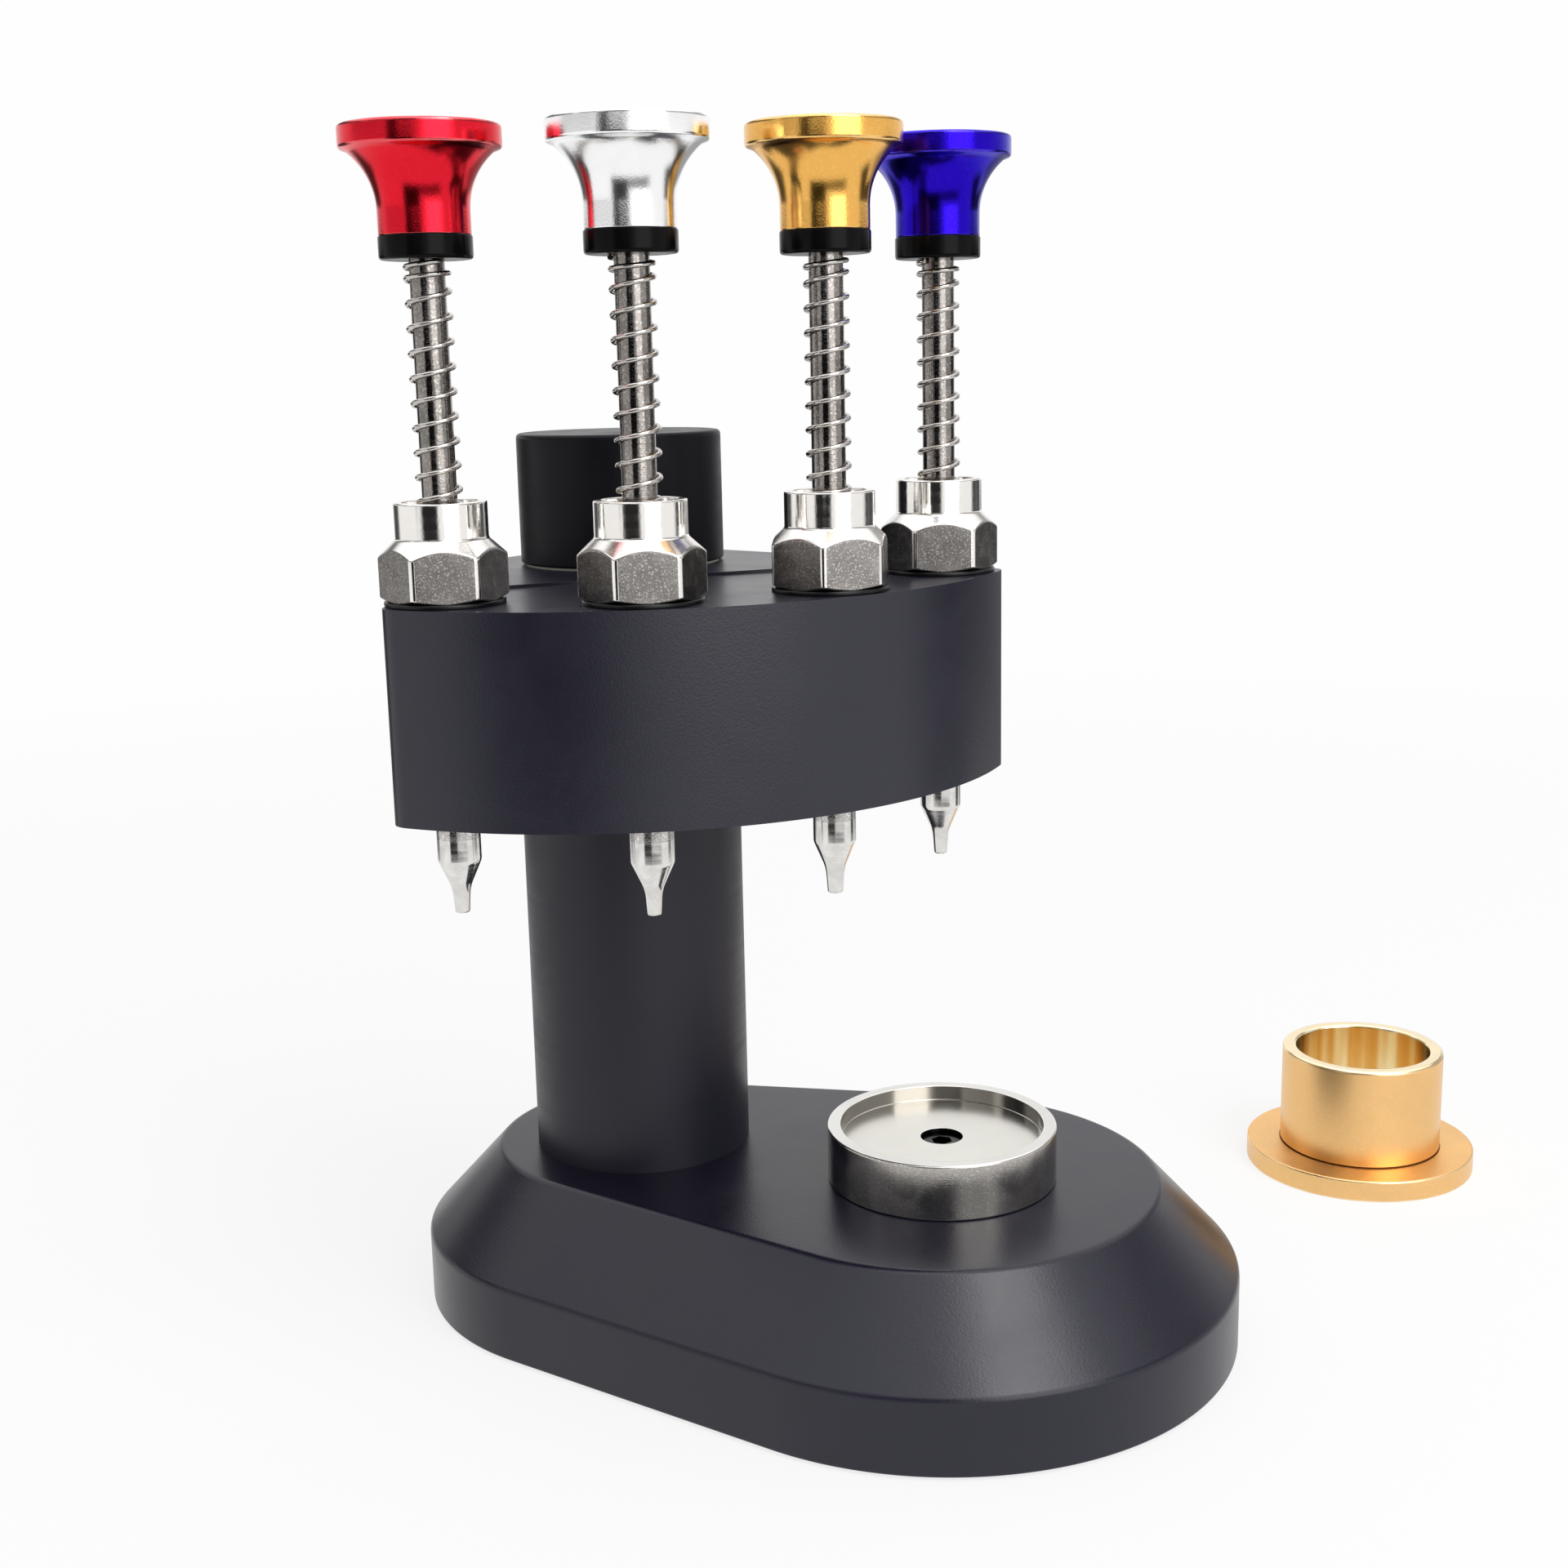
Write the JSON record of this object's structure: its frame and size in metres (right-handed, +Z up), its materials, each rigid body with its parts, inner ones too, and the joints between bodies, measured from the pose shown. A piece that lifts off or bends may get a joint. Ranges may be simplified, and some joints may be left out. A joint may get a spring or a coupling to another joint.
{
  "type": "watch hand setting tool",
  "caption": "Bench press for fitting watch hands: a swivelling head with colour-coded sprung plungers on a post, over a round steel movement seat, with a loose brass support ring.",
  "frame": {"origin": "on the bench, under the post's axis, on the underside of the base pad", "axes": "+Z up along the post, +X from the post to the movement seat"},
  "size_m": [0.1397, 0.1498, 0.1564],
  "materials": {
    "satin_black": "satin black anodised, finely blasted",
    "pad_rubber": "matt black rubber",
    "black_ring": "smooth black plastic",
    "black_oxide": "blackened steel",
    "nylon": "natural nylon",
    "seat_steel": "fine turned steel with a polished rim",
    "nickel": "bright nickel plate, blasted flats",
    "rod_steel": "drawn steel",
    "spring_steel": "spring wire",
    "tip_steel": "bright turned steel",
    "knob_red": "red satin anodised",
    "knob_silver": "clear satin anodised",
    "knob_gold": "gold satin anodised",
    "knob_blue": "blue violet satin anodised",
    "brass": "turned brass"
  },
  "bodies": {
    "stand": {"base_body": "satin_black", "base_pad": "pad_rubber", "post": "satin_black", "post_screw": "black_oxide", "post_cap": "satin_black", "cap_screw": "black_oxide", "thrust_washer_lower": "nylon", "thrust_washer_upper": "nylon", "movement_seat": "seat_steel", "seat_screw": "black_oxide"},
    "head": {"head_body": "satin_black", "index_ball": "rod_steel", "index_spring": "spring_steel", "index_screw": "black_oxide", "guide_nut_red": "nickel", "guide_nut_silver": "nickel", "guide_nut_gold": "nickel", "guide_nut_blue": "nickel", "nut_washer_red": "black_ring", "nut_washer_silver": "black_ring", "nut_washer_gold": "black_ring", "nut_washer_blue": "black_ring", "spring_red": "spring_steel", "spring_silver": "spring_steel", "spring_gold": "spring_steel", "spring_blue": "spring_steel"},
    "plunger_red": {"knob_red": "knob_red", "bumper_red": "black_ring", "rod_red": "rod_steel", "tip_red": "tip_steel"},
    "plunger_silver": {"knob_silver": "knob_silver", "bumper_silver": "black_ring", "rod_silver": "rod_steel", "tip_silver": "tip_steel"},
    "plunger_gold": {"knob_gold": "knob_gold", "bumper_gold": "black_ring", "rod_gold": "rod_steel", "tip_gold": "tip_steel"},
    "plunger_blue": {"knob_blue": "knob_blue", "bumper_blue": "black_ring", "rod_blue": "rod_steel", "tip_blue": "tip_steel"},
    "ring": {"movement_ring": "brass"}
  },
  "joints": [
    {"name": "head_swivel", "type": "hinge", "parent": "stand", "child": "head", "pos_m": [0, 0, 0.091], "axis": [0, 0, 1], "continuous": true},
    {"name": "press_red", "type": "slide", "parent": "head", "child": "plunger_red", "axis": [0, 0, -1], "range_m": [0, 0.02], "stiffness_N_per_m": 120, "springref_m": -0.008, "deforming": ["spring_red"]},
    {"name": "press_silver", "type": "slide", "parent": "head", "child": "plunger_silver", "axis": [0, 0, -1], "range_m": [0, 0.02], "stiffness_N_per_m": 120, "springref_m": -0.008, "deforming": ["spring_silver"]},
    {"name": "press_gold", "type": "slide", "parent": "head", "child": "plunger_gold", "axis": [0, 0, -1], "range_m": [0, 0.02], "stiffness_N_per_m": 120, "springref_m": -0.008, "deforming": ["spring_gold"]},
    {"name": "press_blue", "type": "slide", "parent": "head", "child": "plunger_blue", "axis": [0, 0, -1], "range_m": [0, 0.02], "stiffness_N_per_m": 120, "springref_m": -0.008, "deforming": ["spring_blue"]},
    {"name": "ring_lift", "type": "slide", "parent": "stand", "child": "ring", "axis": [0, 0, 1], "range_m": [0, 0.03]}
  ]
}
